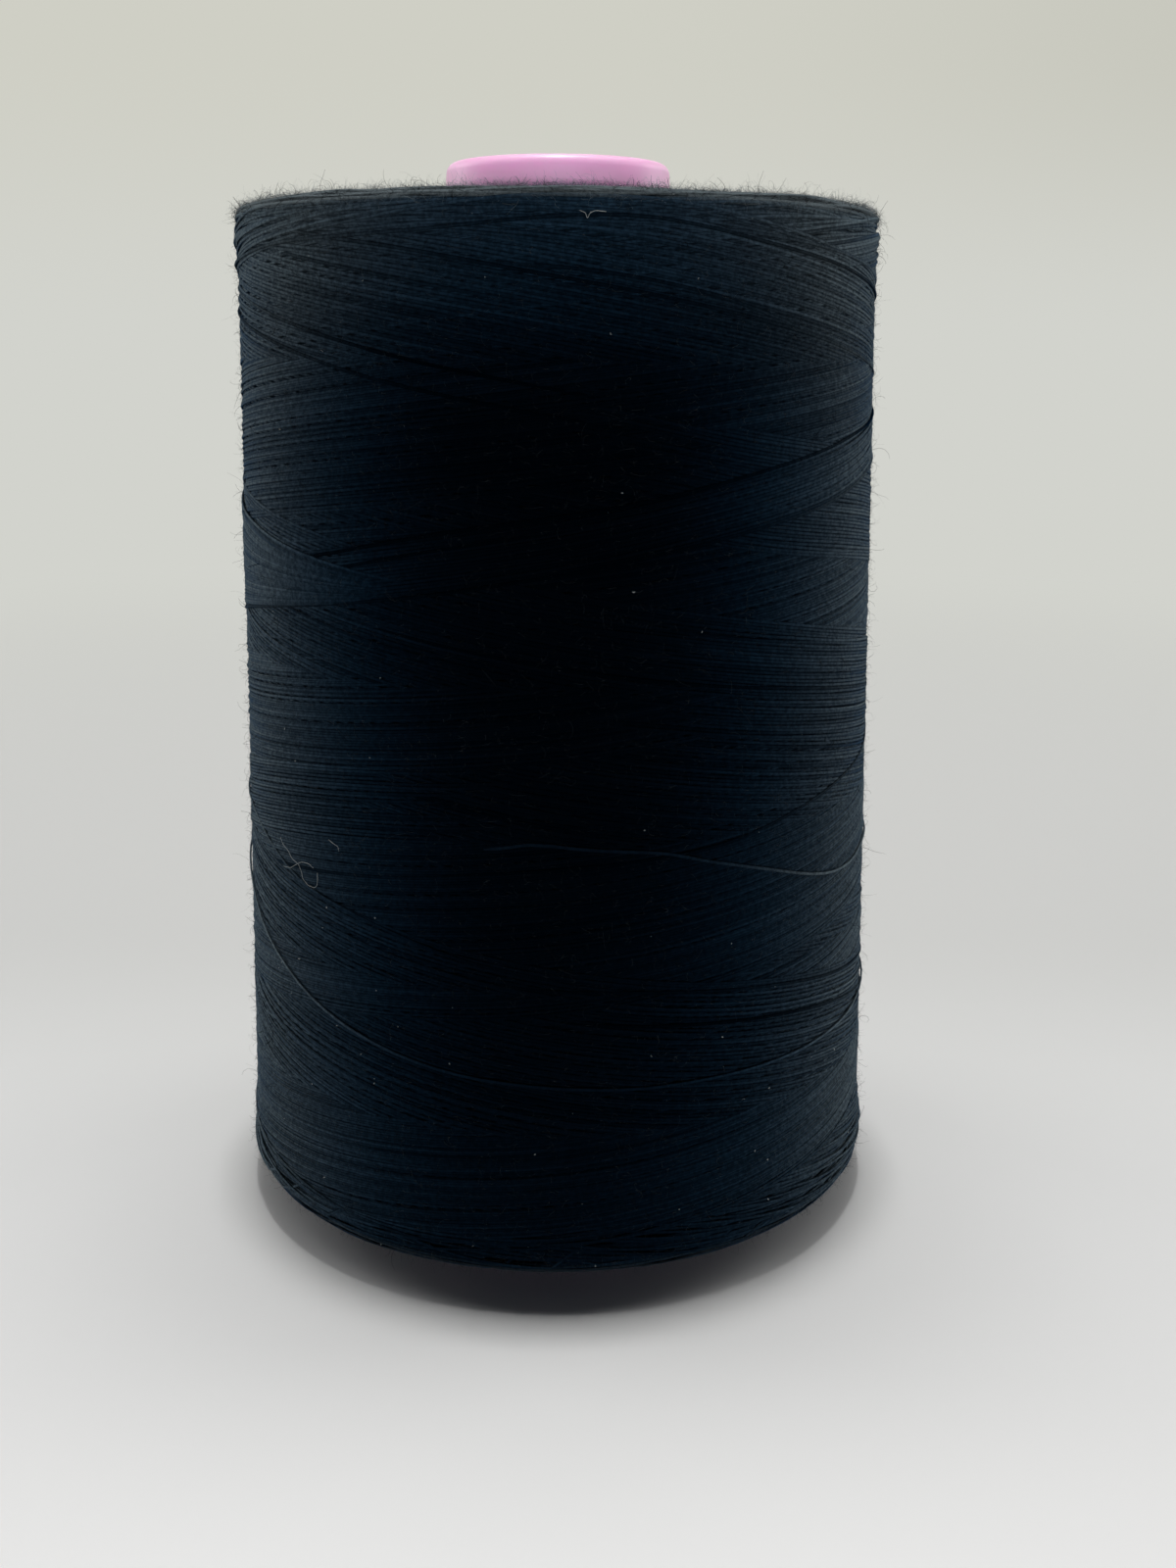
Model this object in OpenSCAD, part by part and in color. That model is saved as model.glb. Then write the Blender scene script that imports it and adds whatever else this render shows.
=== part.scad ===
// Spool of sewing thread: a tapered plastic core tube that carries a cross-wound package of thread.
// Millimetres. +Z is up, along the core's axis, and the origin is the middle of the core's foot.

/* [Core tube] */
// Height of the core tube, from its foot to its nose
core_h = 115; // [90:1:170]
// Outside diameter of the core tube at its nose
nose_d = 23.5; // [20:0.5:32]
// Slope of the core tube's side, in degrees
core_taper = 3.5; // [1:0.1:5.5]
// Wall of the core tube
core_wall = 1.4; // [1:0.1:1.8]
// Rounding of the lip round the nose
lip_r = 1.1; // [0.6:0.1:2]

/* [Spindle hole] */
// Diameter of the hole in the nose, for a spindle
bore_d = 13; // [8:0.5:14]
// Length of the hole in the nose
bore_len = 9; // [5:0.5:16]
// Wall of the sleeve round the hole
sleeve_wall = 1.3; // [0.8:0.1:1.6]
// Rounding of the hole's mouth
mouth_r = 0.5; // [0.2:0.1:1]
// Number of ribs between the sleeve and the tube's wall
rib_count = 6; // [3:1:8]
// Thickness of a rib
rib_t = 1.1; // [0.8:0.1:1.6]

/* [Foot] */
// Height of the rim round the foot
rim_h = 1.6; // [1:0.1:2.4]
// How far the rim stands out from the tube's side
rim_out = 0.9; // [0.6:0.1:1.5]
// Rounding of the rim's edges
rim_r = 0.3; // [0.1:0.05:0.45]
// Number of notches in the rim that catch the thread
notch_count = 3; // [1:1:6]
// Width of a notch
notch_w = 0.8; // [0.7:0.1:1.5]

/* [Winding] */
// Height of the bare tube below the winding
foot_bare = 4.5; // [3.8:0.1:8]
// Height of the bare nose above the winding
nose_bare = 5; // [3:0.5:12]
// Diameter of the winding at its upper end
wind_top_d = 67; // [50:0.5:90]
// Slope of the winding's side, in degrees
wind_taper = 1.5; // [0:0.1:3]
// Rounding of the upper shoulder
top_shoulder_r = 1.2; // [1:0.1:4]
// Rounding of the lower shoulder
foot_shoulder_r = 2.6; // [1:0.1:5]
// Height of the firm band at each end, where the thread turns back
band_h = 5; // [3:0.5:10]
// Length over which a band runs out into the side
band_fade = 3; // [2:0.5:8]
// How far a band stands out from the side
band_rise = 0.25; // [0:0.05:0.8]
// Clearance between the winding and the core tube
seat_gap = 0.05; // [0.02:0.01:0.2]

/* [Thread] */
// Diameter of the thread
thread_d = 0.3; // [0.2:0.02:0.44]
// Clearance between the thread and what it lies on
lay_gap = 0.05; // [0.02:0.01:0.1]
// Clear gap where one strand crosses over another
crossing_gap = 0.5; // [0.45:0.05:0.7]
// Strokes of the outer turns, each from one end of the winding to the other
strokes = 5; // [1:1:6]
// Half turns in a stroke, before the short lead that brings the next pass beside the last
stroke_half_turns = 7; // [4:1:7]
// Turns of the starting tail round the foot
tail_turns = 1.4; // [1.1:0.1:1.6]

/* [Hidden] */

core_color = [0.85, 0.62, 0.76];
thread_color = [0.07, 0.08, 0.1];
$fn = 96;

// How finely things are drawn: rings in a turn of thread, sides of its section, steps in which
// a straight run is measured, steps of a wide rounding, of a fine one and of a band's fading
loop_rings = 24;
thread_sides = 6;
measure_steps = 4;
wide_steps = 3;
fine_steps = 2;
fade_steps = 2;

// How far a cut runs past what it cuts
through = 1;

thread_r = thread_d / 2;
bore_r = bore_d / 2;
sleeve_r = bore_r + sleeve_wall;
wall_across = core_wall / cos(core_taper);
rim_outer_r = core_side(0) + rim_out;

wind_foot_z = foot_bare;
wind_top_z = core_h - nose_bare;
low_turn_z = wind_foot_z + foot_shoulder_r;
high_turn_z = wind_top_z - top_shoulder_r;

// A stroke ends a third of a turn out of step after going there and back, so passes never coincide.
stroke_steps = loop_rings / 2 * stroke_half_turns + loop_rings / 6;
turn_back_steps = 2;
crossing_rise = thread_d + crossing_gap;
tail_steps = round(tail_turns * loop_rings);
// Rings stand out so far that the straight runs between them clear a round surface.
ring_swell = 1 / cos(180 / loop_rings);

// ---- Places ----

// Outside radius of the core tube at a height
function core_side(z) = nose_d / 2 + (core_h - z) * tan(core_taper);

// How much of a band's rise is left at a distance from the winding's end
function band_share(d) =
    d < band_h ? 1 :
    d < band_h + band_fade ? (1 + cos(180 * (d - band_h) / band_fade)) / 2 : 0;

// Outside radius of the winding at a height
function wind_side(z) =
    wind_top_d / 2 + (wind_top_z - z) * tan(wind_taper)
    + band_rise * max(band_share(z - wind_foot_z), band_share(wind_top_z - z));

// Points of an arc in the section's plane
function arc(c, r, from, to, steps) = [
    for (i = [0 : steps])
        let (a = from + (to - from) * i / steps)
        c + r * [cos(a), sin(a)]
];

// A point at an angle, radius and height, moved on by a short run along the turn
function around(a, r, z, run = 0) = [r * cos(a) - run * sin(a), r * sin(a) + run * cos(a), z];

// ---- Thread paths ----

// Rise within a stroke after s steps, eased where the thread turns back at each end
function eased(s) =
    s < turn_back_steps ? s * s / (2 * turn_back_steps) :
    s > stroke_steps - turn_back_steps ?
        stroke_steps - turn_back_steps - pow(stroke_steps - s, 2) / (2 * turn_back_steps) :
    s - turn_back_steps / 2;

// Height of the outer turns at ring i: up one stroke and down the next
function turn_z(i) =
    let (s = i % (2 * stroke_steps), up = min(s, 2 * stroke_steps - s))
    low_turn_z + (high_turn_z - low_turn_z) * eased(up) / (stroke_steps - turn_back_steps);

// Whether ring i lies on top of an earlier strand. Strands only ever cross at rings.
function crosses(i) =
    len([
        for (m = [1 : 1 : floor(i / loop_rings)])
            if (abs(turn_z(i) - turn_z(i - m * loop_rings)) < thread_d) m
    ]) > 0;

function lift(i) =
    crosses(i) ? crossing_rise :
    crosses(i - 1) || crosses(i + 1) ? crossing_rise / 2 : 0;

function lie_r(surface_r) = (surface_r + lay_gap + thread_r) * ring_swell;

function turn_ring(i) =
    let (z = turn_z(i))
    around(i * 360 / loop_rings, lie_r(wind_side(z)) + lift(i), z);

// An end of the outer turns: out of the winding, square to it, then round into the turn
function tucked_end(i, way) =
    let (
        a = i * 360 / loop_rings,
        z = turn_z(i),
        foot_r = wind_side(z) + lay_gap,
        bend = lie_r(wind_side(z)) - foot_r - thread_d
    )
    [
        around(a, foot_r, z),
        around(a, foot_r + thread_d, z),
        around(a, foot_r + thread_d + bend, z, way * bend)
    ];

last_ring = strokes * stroke_steps;
outer_rings = [for (i = [1 : last_ring - 1]) turn_ring(i)];
last_end = tucked_end(last_ring, -1);
outer_path = concat(tucked_end(0, 1), outer_rings, [last_end[2], last_end[1], last_end[0]]);

// The starting tail: up out of a notch, round the foot, then square into the winding's underside
tail_low_z = rim_h + lay_gap + thread_r;
tail_high_z = wind_foot_z - lay_gap - thread_d - thread_r;
function tail_ring(i) =
    let (z = tail_low_z + (tail_high_z - tail_low_z) * i / tail_steps)
    around(i * 360 / loop_rings, lie_r(core_side(z)), z);

function tail_upright(i, z, run = 0) =
    let (beside = tail_ring(i)) around(i * 360 / loop_rings, norm([beside.x, beside.y]), z, run);

tail_rings = [for (i = [1 : tail_steps - 1]) tail_ring(i)];
tail_path = concat(
    [
        tail_upright(0, rim_r),
        tail_upright(0, tail_low_z - thread_r),
        tail_upright(0, tail_low_z, thread_r)
    ],
    tail_rings,
    [
        tail_upright(tail_steps, tail_high_z, -thread_r),
        tail_upright(tail_steps, tail_high_z + thread_r),
        tail_upright(tail_steps, wind_foot_z - lay_gap)
    ]
);

// ---- Thread as a solid ----

function unit(v) = v / norm(v);

function heading(path, i) =
    let (
        last = len(path) - 1,
        before = unit(path[max(i, 1)] - path[max(i, 1) - 1]),
        after = unit(path[min(i, last - 1) + 1] - path[min(i, last - 1)])
    )
    unit(before + after);

// One unbroken tube along a path. Its section is squared off against the axis or the radius,
// whichever the path never follows.
module thread_tube(path, against_radius = false) {
    ends = len(path) - 1;
    section = [
        for (i = [0 : ends])
            let (
                p = path[i],
                d = heading(path, i),
                across = unit(cross(against_radius ? unit([p.x, p.y, 0]) : [0, 0, 1], d)),
                up = cross(d, across)
            )
            for (k = [0 : thread_sides - 1])
                let (a = 360 * k / thread_sides)
                p + thread_r * (cos(a) * across + sin(a) * up)
    ];
    walls = [
        for (i = [0 : ends - 1], k = [0 : thread_sides - 1])
            let (
                near = i * thread_sides + k,
                near_next = i * thread_sides + (k + 1) % thread_sides
            )
            each [
                [near, near_next, near_next + thread_sides],
                [near, near_next + thread_sides, near + thread_sides]
            ]
    ];
    caps = [
        for (k = [1 : thread_sides - 2])
            each [
                [0, k + 1, k],
                [ends * thread_sides, ends * thread_sides + k, ends * thread_sides + k + 1]
            ]
    ];
    polyhedron(points = section, faces = [for (f = concat(walls, caps)) [f[2], f[1], f[0]]]);
}

// Points along the rings of a path, several to each straight run between them
function finely(rings) = [
    for (i = [0 : len(rings) - 2], s = [0 : measure_steps - 1])
        rings[i] + (rings[i + 1] - rings[i]) * s / measure_steps
];

// Least clear gap between a thread's own turns, measured on points at and beside the same angle
function least_gap(rings) =
    let (
        points = finely(rings),
        turn = loop_rings * measure_steps,
        gaps = [
            for (k = [0 : len(points) - 1], m = [1 : 1 : ceil(len(points) / turn)], j = [-2 : 2])
                let (other = k + m * turn + j)
                if (other < len(points)) norm(points[k] - points[other]) - thread_d
        ]
    )
    min(gaps);

// ---- Core tube ----

module core_section() {
    lip_center = [core_side(core_h - lip_r) - lip_r / cos(core_taper), core_h - lip_r];
    rim_center_r = rim_outer_r - rim_r;
    polygon(concat(
        [[core_side(0) - wall_across, 0]],
        arc([rim_center_r, rim_r], rim_r, -90, 0, fine_steps),
        arc([rim_center_r, rim_h - rim_r], rim_r, 0, 90, fine_steps),
        [[core_side(rim_h), rim_h]],
        arc(lip_center, lip_r, core_taper, 90, wide_steps),
        arc([bore_r + mouth_r, core_h - mouth_r], mouth_r, 90, 180, fine_steps),
        [
            [bore_r, core_h - bore_len],
            [sleeve_r, core_h - bore_len],
            [sleeve_r, core_h - core_wall],
            [core_side(core_h - core_wall) - wall_across, core_h - core_wall]
        ]
    ));
}

// Ribs from the sleeve to the tube's wall, let into both by half their thickness
module nose_ribs() {
    low_z = core_h - bore_len;
    high_z = core_h - core_wall / 2;
    inner_r = sleeve_r - sleeve_wall / 2;
    function outer_r(z) = core_side(z) - wall_across / 2;
    for (i = [0 : rib_count - 1])
        rotate([90, 0, i * 360 / rib_count])
            linear_extrude(rib_t, center = true)
                polygon([
                    [inner_r, low_z], [outer_r(low_z), low_z],
                    [outer_r(high_z), high_z], [inner_r, high_z]
                ]);
}

module rim_notches() {
    for (i = [0 : notch_count - 1])
        rotate([0, 0, i * 360 / notch_count])
            translate([core_side(rim_h), -notch_w / 2, -through])
                cube([rim_out + core_wall, notch_w, rim_h + 2 * through]);
}

module core_tube() {
    color(core_color) {
        difference() {
            rotate_extrude() core_section();
            rim_notches();
        }
        nose_ribs();
    }
}

// ---- Winding ----

module wind_section() {
    foot_side_r = wind_side(low_turn_z);
    top_side_r = wind_side(high_turn_z);
    // Heights where the side bends: both bands' inner runs, in even steps
    fade_low = wind_foot_z + band_h;
    fade_high = wind_top_z - band_h;
    side_z = concat(
        [for (s = [0 : fade_steps]) fade_low + band_fade * s / fade_steps],
        [for (s = [fade_steps : -1 : 0]) fade_high - band_fade * s / fade_steps]
    );
    polygon(concat(
        [[core_side(wind_foot_z) + seat_gap, wind_foot_z]],
        arc([foot_side_r - foot_shoulder_r, low_turn_z], foot_shoulder_r, -90, 0, wide_steps),
        [for (z = side_z) if (z > low_turn_z && z < high_turn_z) [wind_side(z), z]],
        arc([top_side_r - top_shoulder_r, high_turn_z], top_shoulder_r, 0, 90, wide_steps),
        [[core_side(wind_top_z) + seat_gap, wind_top_z]]
    ));
}

module winding_body() {
    color(thread_color) rotate_extrude() wind_section();
}

module outer_turns() {
    echo(outer_turns_loops = last_ring / loop_rings, least_gap_mm = least_gap(outer_rings));
    color(thread_color) thread_tube(outer_path);
}

module start_tail() {
    echo(start_tail_loops = tail_turns, least_gap_mm = least_gap(tail_rings));
    color(thread_color) thread_tube(tail_path, against_radius = true);
}

core_tube();
winding_body();
outer_turns();
start_tail();
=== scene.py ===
"""A spool of sewing thread: the strands of its skin, their fuzz, and the moulded core tube."""
import itertools
import math

import bpy
import numpy as np
from mathutils import Matrix, Vector


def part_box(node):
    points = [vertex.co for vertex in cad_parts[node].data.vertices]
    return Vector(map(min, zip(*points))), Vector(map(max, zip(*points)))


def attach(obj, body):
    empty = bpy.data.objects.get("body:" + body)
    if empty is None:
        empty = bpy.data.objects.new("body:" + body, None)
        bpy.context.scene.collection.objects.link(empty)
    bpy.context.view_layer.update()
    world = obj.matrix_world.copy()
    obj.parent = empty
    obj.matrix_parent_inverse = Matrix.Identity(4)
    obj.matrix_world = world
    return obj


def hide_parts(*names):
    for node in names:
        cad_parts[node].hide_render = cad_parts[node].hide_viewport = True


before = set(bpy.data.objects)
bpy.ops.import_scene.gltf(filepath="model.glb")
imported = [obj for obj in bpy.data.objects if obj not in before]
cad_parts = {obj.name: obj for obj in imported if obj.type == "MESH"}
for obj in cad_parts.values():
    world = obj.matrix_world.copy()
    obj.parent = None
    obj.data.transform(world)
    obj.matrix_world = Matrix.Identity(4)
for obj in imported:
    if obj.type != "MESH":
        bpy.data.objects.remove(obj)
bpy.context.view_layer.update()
chance = np.random.default_rng(75)

# ---- Sizes, in millimetres ----

MM = 0.001
CORE_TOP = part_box("core_tube")[1].z / MM
WIND_FOOT, WIND_TOP = (corner.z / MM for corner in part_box("winding_body"))

# The core tube: its nose with the spindle hole in a ribbed sleeve, and the notched rim at its foot
NOSE_R = 11.8
CORE_TAPER = math.radians(3.5)
CORE_WALL = 1.4
LIP_R = 1.1
BORE_R = 6.5
BORE_LENGTH = 9.0
SLEEVE_R = 7.8
MOUTH_R = 0.5
RIM_HEIGHT = 1.6
RIM_OUT = 0.9
RIM_R = 0.3
RIBS = 6
RIB_THICK = 1.1
# How far the ribs reach into the sleeve
RIB_BITE = 0.65
NOTCHES = 3
NOTCH_WIDE = 0.8
CORE_SEGMENTS = 180

# The winding's skin, measured over its strands, with a firmer band at each end
SKIN_TOP_R = 33.75
SKIN_FOOT_R = 36.45
SKIN_TAPER = math.atan((SKIN_FOOT_R - SKIN_TOP_R) / (WIND_TOP - WIND_FOOT))
FOOT_ROUND = 1.5
# The outermost layers hang a little below the foot of the winding
FOOT_SAG = 0.4
TOP_ROUND = 1.1
BAND_HIGH = 5.0
BAND_FADE = 3.0
BAND_RISE = 0.2
# How far the end faces stop short of the core's side
CORE_GAP = 0.3
# How far the strands settle into the skin
LIE_DEEP = 0.12
# The layers underneath: how far below the skin they lie, how many segments round they have, and
# from how many columns up the section they take one ring
UNDER_DEEP = 0.85
UNDER_SEGMENTS = 192
UNDER_COLUMNS = 10

# The thread as it lies, a little flattened, and the part of its width that rests on others
THREAD_HALF_WIDE = 0.175
THREAD_HALF_HIGH = 0.12
THREAD_SIDES = 5
REST_HALF_WIDE = 0.14
# How far along the thread one ply's crest is from the next
PLY_LAY = 0.62
# How far a strand wavers from its course, and an end face's loops from theirs
WAVER = 0.03
FACE_WAVER = 0.05

# The traverse: turns in a rising and a falling stroke. Each pass lies just beside the last
RISING_TURNS = 4.14
FALLING_TURNS = 2.86
SIDE_BY_SIDE = 0.0106
PASSES = 94
# Over how much of a turn a stroke turns back: the least and the most, and in the last pass
TURN_BACK = (0.05, 0.22)
LAST_TURN_BACK = 0.2
# About how far a whole stroke strays up or down
STROKE_STRAY = 0.06
# Where the last rising strand crosses the front, in turns after its stroke's start
LAST_RISE = 3.11

# Loops over an end face: how close they lie, how far they swing off centre, how often in a turn,
# and the turns until the swing is full
FACE_SPACING = 0.17
FACE_SWING = 1.5
FACE_SWINGS = 1.37
FACE_SWING_TURNS = 12
# Where they start from the core, and how far past the shoulder they end
FOOT_FACE_START = 1.6
TOP_FACE_START = 1.8
FACE_PAST_SHOULDER = 4.0

# How finely the lay of the strands is worked out: steps in a turn, and columns up the section
STEPS = 96
COLUMN = 0.04

# The front of the spool, in turns round from +X
FRONT = 0.75


def core_side(height):
    """The radius of the core tube's side."""
    return NOSE_R + (CORE_TOP - height) * math.tan(CORE_TAPER)


def skin_side(height):
    """The radius of the skin's side, without its rounded edges."""
    return SKIN_TOP_R + (WIND_TOP - height) * math.tan(SKIN_TAPER)


def slow_noise(count, reach):
    """Random swings of about 1, each some steps long."""
    window = np.hanning(reach + 2)
    swings = np.convolve(chance.normal(size=count + len(window)), window, "same")[:count]
    return swings / math.sqrt((window**2).sum())


def smoothed(values, span):
    """A smooth line through values, as long as they are. The span is odd."""
    soften = np.hanning(span + 2)[1:-1]
    return np.convolve(np.pad(values, span // 2, mode="edge"), soften / soften.sum(), "valid")


# ---- The winding's section ----


def winding_section():
    """Radius, height and facing angle at even columns, from under the winding to its top."""
    low = WIND_FOOT - FOOT_SAG + FOOT_ROUND
    high = WIND_TOP - TOP_ROUND
    low_middle = skin_side(low) - FOOT_ROUND / math.cos(SKIN_TAPER)
    high_middle = skin_side(high) - TOP_ROUND / math.cos(SKIN_TAPER)
    round_points = 80
    low_turn = np.linspace(-math.pi / 2, SKIN_TAPER, round_points)
    high_turn = np.linspace(SKIN_TAPER, math.pi / 2, round_points)
    radius = np.concatenate([
        [core_side(WIND_FOOT) + CORE_GAP],
        low_middle + FOOT_ROUND * np.cos(low_turn),
        high_middle + TOP_ROUND * np.cos(high_turn),
        [core_side(WIND_TOP) + CORE_GAP],
    ])
    height = np.concatenate([
        [WIND_FOOT],
        low + FOOT_ROUND * np.sin(low_turn),
        high + TOP_ROUND * np.sin(high_turn),
        [WIND_TOP],
    ])
    facing = np.concatenate([[-math.pi / 2], low_turn, high_turn, [math.pi / 2]])
    run = np.concatenate([[0], np.cumsum(np.hypot(np.diff(radius), np.diff(height)))])
    columns = np.arange(0, run[-1], COLUMN)
    measures = (radius, height, facing)
    radius, height, facing = (np.interp(columns, run, values) for values in measures)
    end = np.minimum(height - WIND_FOOT, WIND_TOP - height)
    share = np.clip((BAND_HIGH + BAND_FADE - end) / BAND_FADE, 0, 1)
    radius = radius + BAND_RISE * share * share * (3 - 2 * share) * np.cos(facing)
    return radius, height, facing


section_radius, section_height, section_facing = winding_section()
section_length = len(section_radius) * COLUMN


def column_at(height):
    """How far up the section the side is at this height."""
    most_turned = 0.2
    side = np.abs(section_facing - SKIN_TAPER) < most_turned
    return np.interp(height, section_height[side], np.flatnonzero(side) * COLUMN)


def on_winding(along, turn, depth=0.0):
    """Places on the skin and the way they face: mm up the section, turns round, mm above it."""
    along = np.clip(along, 0, section_length - 2 * COLUMN)
    place = along / COLUMN
    columns = np.arange(len(section_radius))
    measures = (section_radius, section_height, section_facing)
    radius, height, facing = (np.interp(place, columns, values) for values in measures)
    angle = 2 * math.pi * turn
    level = np.cos(facing)
    out = np.stack([np.cos(angle) * level, np.sin(angle) * level, np.sin(facing)], axis=-1)
    base = np.stack([np.cos(angle) * radius, np.sin(angle) * radius, height], axis=-1)
    return (base + out * np.asarray(depth)[..., None]) * MM, out


# ---- How the strands lie on one another ----

# A strand's half height over the columns that it rests on
rest_reach = np.arange(-int(REST_HALF_WIDE / COLUMN), int(REST_HALF_WIDE / COLUMN) + 1)
REST = THREAD_HALF_HIGH * np.sqrt(1 - (rest_reach * COLUMN / REST_HALF_WIDE) ** 2)
# How far a taut strand on this radius falls inside the round between two steps, and how many
# times its lay is drawn taut
TAUT_R = 34.5
SAG = TAUT_R * (1 - math.cos(2 * math.pi / STEPS))
TAUT_TIMES = 3

# How high the strands are piled over the skin at each step round and column up
piled = np.zeros((STEPS, len(section_radius)))


def lay(along, first_step, piling=True):
    """Lays a strand over what is wound, a turn at a time, and gives the heights of its middle."""
    heights = np.empty(len(along))
    before = None
    for start in range(0, len(along), STEPS):
        part = along[start:start + STEPS]
        rows = (first_step + start + np.arange(len(part))) % STEPS
        columns = np.rint(part / COLUMN).astype(int)[:, None] + rest_reach
        columns = np.clip(columns, 0, piled.shape[1] - 1)
        under = piled[rows[:, None], columns]
        height = (under + REST).max(axis=1)
        first = height[0] if before is None else before
        for _ in range(TAUT_TIMES):
            padded = np.concatenate([[first], height, [height[-1]]])
            height = np.maximum(height, (padded[:-2] + padded[2:]) / 2 - SAG)
        padded = np.concatenate([[first], height, [height[-1]]])
        height = (padded[:-2] + 2 * height + padded[2:]) / 4
        if piling:
            piled[rows[:, None], columns] = np.maximum(under, height[:, None] + REST)
        heights[start:start + STEPS] = height
        before = height[-1]
    return heights


def end_face_turns(inner, outer):
    """Loops over an end of the winding, where strands turn back: each one a little off centre."""
    turns = int(abs(outer - inner) / FACE_SPACING)
    turn = np.arange(turns * STEPS) / STEPS
    along = inner + (outer - inner) * turn / turns
    swing = FACE_SWING * np.minimum(1, turn / FACE_SWING_TURNS)
    wander = slow_noise(len(turn), 5 * STEPS)
    along = along + swing * np.sin(2 * math.pi * turn * FACE_SWINGS + wander)
    return along + FACE_WAVER * slow_noise(len(turn), STEPS // 3)


def side_turns(low, high):
    """The cross-winding of the side: long strokes that turn back at both shoulders."""
    rise = (high - low) / RISING_TURNS
    fall = (high - low) / FALLING_TURNS
    there_and_back = RISING_TURNS + FALLING_TURNS + SIDE_BY_SIDE
    turn = np.arange(int(PASSES * there_and_back * STEPS)) / STEPS
    done = np.floor(turn / there_and_back).astype(int)
    within = turn - done * there_and_back
    going_down = high - fall * (within - RISING_TURNS)
    along = np.where(within < RISING_TURNS, low + rise * within, going_down)
    # Each turning back is rounded over its own part of a turn
    for back, way in ((RISING_TURNS, -1), (there_and_back, 1), (0.0, 1)):
        softness = chance.uniform(*TURN_BACK, PASSES)
        softness[-1] = LAST_TURN_BACK
        softness = softness[np.minimum(done, PASSES - 1)]
        away = np.abs(within - back)
        rounding = np.where(away < softness, (softness - away) ** 2 / (2 * softness), 0)
        along = along + way * rounding * (rise + fall) / 2
    stroke = 2 * done + (within > RISING_TURNS)
    uneven = chance.normal(0, STROKE_STRAY, stroke.max() + 1)[stroke]
    soften = np.hanning(STEPS // 6)
    uneven = np.convolve(uneven, soften / soften.sum(), "same")
    return along + uneven + WAVER * slow_noise(len(turn), STEPS // 4)


# ---- Meshes of thread ----


def tube_mesh(name, paths, outward, half_wide, half_high, sides, tone, turn_steps=0):
    """One closed tube along each path. Each point keeps its tone and the way out of the skin."""
    count, rings = paths.shape[:2]
    tiny = 1e-12
    along = np.gradient(paths, axis=1)
    along /= np.linalg.norm(along, axis=-1, keepdims=True) + tiny
    across = np.cross(along, outward)
    across /= np.linalg.norm(across, axis=-1, keepdims=True) + tiny
    upright = np.cross(across, along)
    # A ring's first corner is a quarter round, on its outer side
    angles = 2 * math.pi * (np.arange(sides) / sides + 0.25)
    wide = np.cos(angles)[:, None] * np.asarray(half_wide)[..., None, None]
    high = np.sin(angles)[:, None] * np.asarray(half_high)[..., None, None]
    ring = across[:, :, None] * wide + upright[:, :, None] * high
    points = (paths[:, :, None] + ring * MM).reshape(-1, 3)
    index = np.arange(count * rings * sides).reshape(count, rings, sides)
    here, there = index[:, :-1], index[:, 1:]
    quads = np.stack([here, there, np.roll(there, -1, axis=2), np.roll(here, -1, axis=2)], axis=-1)
    quads = quads.reshape(-1, 4)
    ends = np.concatenate([index[:, 0], index[:, -1, ::-1]])
    corners = np.concatenate([quads.ravel(), ends.ravel()])
    end_starts = len(quads) * 4 + np.arange(len(ends)) * sides
    starts = np.concatenate([np.arange(len(quads)) * 4, end_starts])
    mesh = bpy.data.meshes.new(name)
    mesh.vertices.add(len(points))
    mesh.vertices.foreach_set("co", points.astype(np.float32).ravel())
    mesh.loops.add(len(corners))
    mesh.loops.foreach_set("vertex_index", corners.astype(np.int32))
    mesh.polygons.add(len(starts))
    mesh.polygons.foreach_set("loop_start", starts.astype(np.int32))
    mesh.polygons.foreach_set("use_smooth", np.ones(len(starts), dtype=bool))
    mesh.update(calc_edges=True)
    shade = mesh.attributes.new("tone", "FLOAT", "POINT")
    shade.data.foreach_set("value", np.repeat(np.asarray(tone, dtype=np.float32).ravel(), sides))
    facing = mesh.attributes.new("outward", "FLOAT_VECTOR", "POINT")
    ways = np.repeat(outward.reshape(-1, 3), sides, axis=0)
    facing.data.foreach_set("vector", ways.astype(np.float32).ravel())
    if turn_steps:
        add_places(mesh, paths, sides, turn_steps)
    return mesh


def add_places(mesh, paths, sides, turn_steps):
    """Flat places on a strand: one layer a turn to a row, and one that follows its twist."""
    count, rings = paths.shape[:2]
    lengths = np.linalg.norm(np.diff(paths, axis=1), axis=2) / MM
    run = np.concatenate([np.zeros((count, 1)), np.cumsum(lengths, axis=1)], axis=1)
    strand, step, side = (values.ravel() for values in np.indices((count, rings - 1, sides)))
    rows = math.ceil((rings - 1) / turn_steps)
    twist = np.zeros((len(mesh.loops), 2))
    bake = np.zeros((len(mesh.loops), 2))
    for corner, (on, over) in enumerate(((0, 0), (1, 0), (1, 1), (0, 1))):
        at = np.arange(len(strand)) * 4 + corner
        twist[at, 0] = run[strand, step + on] / PLY_LAY
        twist[at, 1] = (side + over) / sides
        bake[at, 0] = (step % turn_steps + on) / turn_steps
        row = strand * rows + step // turn_steps
        bake[at, 1] = (row + (side + over) / sides) / (rows * count)
    for title, places in (("OFBake", bake), ("twist", twist)):
        layer = mesh.uv_layers.new(name=title)
        layer.data.foreach_set("uv", places.astype(np.float32).ravel())


def placed(name, data):
    """A new object in the scene."""
    made = bpy.data.objects.new(name, data)
    bpy.context.scene.collection.objects.link(made)
    return made


def piece(name, mesh, finish, replaced=()):
    """Puts a mesh on the spool."""
    made = placed(name, mesh)
    mesh.materials.append(finish)
    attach(made, "root")
    if replaced:
        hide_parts(*replaced)
    return made


# ---- Finishes ----


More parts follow.
